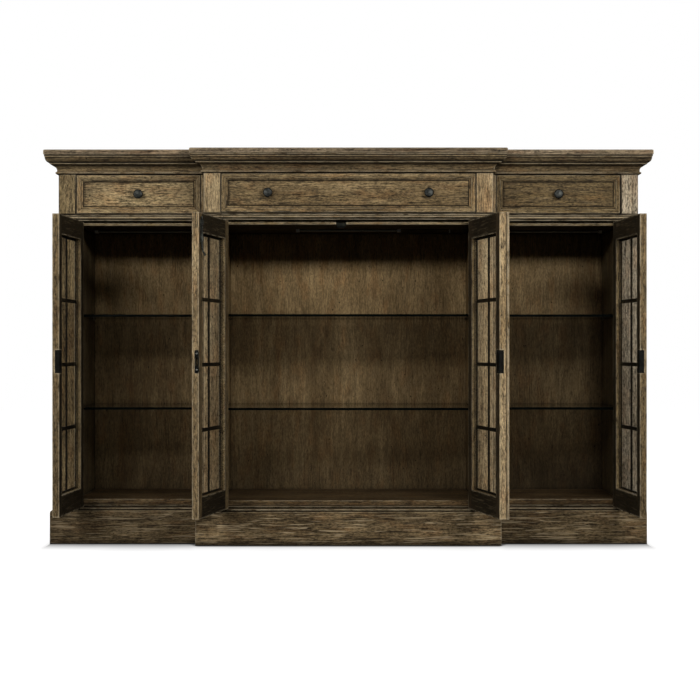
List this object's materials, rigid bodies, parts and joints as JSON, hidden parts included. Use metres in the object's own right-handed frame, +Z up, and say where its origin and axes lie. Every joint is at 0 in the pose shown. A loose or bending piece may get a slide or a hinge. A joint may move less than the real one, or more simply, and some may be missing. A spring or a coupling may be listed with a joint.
{
  "type": "china cabinet",
  "caption": "Low breakfront china cabinet with framed glazed doors standing open, drawers above them, glass shelves inside, a moulded cornice and a plinth.",
  "frame": {"origin": "on the floor, under the plinth's middle bearer, midway between the side bays' front face and the back", "axes": "+X along the front to the viewer's right, +Y towards the back, +Z up"},
  "size_m": [2.0614, 1.012, 1.334],
  "materials": {
    "plinth_wood": "weathered grey-brown oak, satin, with rough pale grain streaks",
    "carcass_wood": "greyed oak, satin",
    "moulding_wood": "greyed oak, satin",
    "drawer_wood": "greyed oak, satin",
    "drawer_lining": "plain oak, matt",
    "door_wood": "greyed oak, satin",
    "glazing_bars": "near black, satin",
    "door_glass": "clear",
    "shelf_glass": "clear, polished edges",
    "light_bar": "satin with a white diffuser",
    "knob_metal": "dark bronze, satin",
    "hinge_metal": "satin",
    "lock_metal": "dark bronze, satin"
  },
  "bodies": {
    "carcass": {"plinth": "plinth_wood", "bottom_board": "carcass_wood", "side_panel_left": "carcass_wood", "side_panel_right": "carcass_wood", "partition_left": "carcass_wood", "partition_right": "carcass_wood", "back_panel": "carcass_wood", "stile_outer_left": "carcass_wood", "stile_outer_right": "carcass_wood", "stile_inner_left": "carcass_wood", "stile_inner_right": "carcass_wood", "drawer_deck": "carcass_wood", "waist_moulding": "moulding_wood", "cornice": "moulding_wood", "top_board": "moulding_wood", "shelf_left_lower": "shelf_glass", "shelf_left_upper": "shelf_glass", "shelf_centre_lower": "shelf_glass", "shelf_centre_upper": "shelf_glass", "shelf_right_lower": "shelf_glass", "shelf_right_upper": "shelf_glass", "light_left": "light_bar", "light_centre": "light_bar", "light_right": "light_bar"},
    "drawer_left": {"drawer_front_left": "drawer_wood", "drawer_box_left": "drawer_lining", "knob_left": "knob_metal"},
    "drawer_centre": {"drawer_front_centre": "drawer_wood", "drawer_box_centre": "drawer_lining", "knob_centre_left": "knob_metal", "knob_centre_right": "knob_metal"},
    "drawer_right": {"drawer_front_right": "drawer_wood", "drawer_box_right": "drawer_lining", "knob_right": "knob_metal"},
    "door_left": {"door_frame_left": "door_wood", "door_grid_left": "glazing_bars", "door_glass_left": "door_glass", "hinge_left_lower": "hinge_metal", "hinge_left_upper": "hinge_metal", "lock_left": "lock_metal"},
    "door_centre_left": {"door_frame_centre_left": "door_wood", "door_grid_centre_left": "glazing_bars", "door_glass_centre_left": "door_glass", "hinge_centre_left_lower": "hinge_metal", "hinge_centre_left_upper": "hinge_metal", "strike_plate": "lock_metal", "slide_bolt_plate": "lock_metal"},
    "door_centre_right": {"door_frame_centre_right": "door_wood", "door_grid_centre_right": "glazing_bars", "door_glass_centre_right": "door_glass", "hinge_centre_right_lower": "hinge_metal", "hinge_centre_right_upper": "hinge_metal", "lock_centre_right": "lock_metal"},
    "door_right": {"door_frame_right": "door_wood", "door_grid_right": "glazing_bars", "door_glass_right": "door_glass", "hinge_right_lower": "hinge_metal", "hinge_right_upper": "hinge_metal", "lock_right": "lock_metal"},
    "slide_bolt": {"slide_bolt_rod": "lock_metal"}
  },
  "joints": [
    {"name": "drawer_left_slide", "type": "slide", "parent": "carcass", "child": "drawer_left", "axis": [0, -1, 0], "range_m": [0, 0.3]},
    {"name": "drawer_centre_slide", "type": "slide", "parent": "carcass", "child": "drawer_centre", "axis": [0, -1, 0], "range_m": [0, 0.34]},
    {"name": "drawer_right_slide", "type": "slide", "parent": "carcass", "child": "drawer_right", "axis": [0, -1, 0], "range_m": [0, 0.3]},
    {"name": "door_left_hinge", "type": "hinge", "parent": "carcass", "child": "door_left", "pos_m": [-0.9258, -0.259, 0.6075], "axis": [0, 0, -1], "range_deg": [-92.8, 77.2]},
    {"name": "door_centre_left_hinge", "type": "hinge", "parent": "carcass", "child": "door_centre_left", "pos_m": [-0.4296, -0.324, 0.6075], "axis": [0, 0, -1], "range_deg": [-99, 71]},
    {"name": "door_centre_right_hinge", "type": "hinge", "parent": "carcass", "child": "door_centre_right", "pos_m": [0.4296, -0.324, 0.6075], "axis": [0, 0, 1], "range_deg": [-99.7, 70.3]},
    {"name": "door_right_hinge", "type": "hinge", "parent": "carcass", "child": "door_right", "pos_m": [0.9258, -0.259, 0.6075], "axis": [0, 0, 1], "range_deg": [-93.8, 76.2]},
    {"name": "slide_bolt_slide", "type": "slide", "parent": "door_centre_left", "child": "slide_bolt", "axis": [0, 0, 1], "range_m": [0, 0.016]}
  ]
}
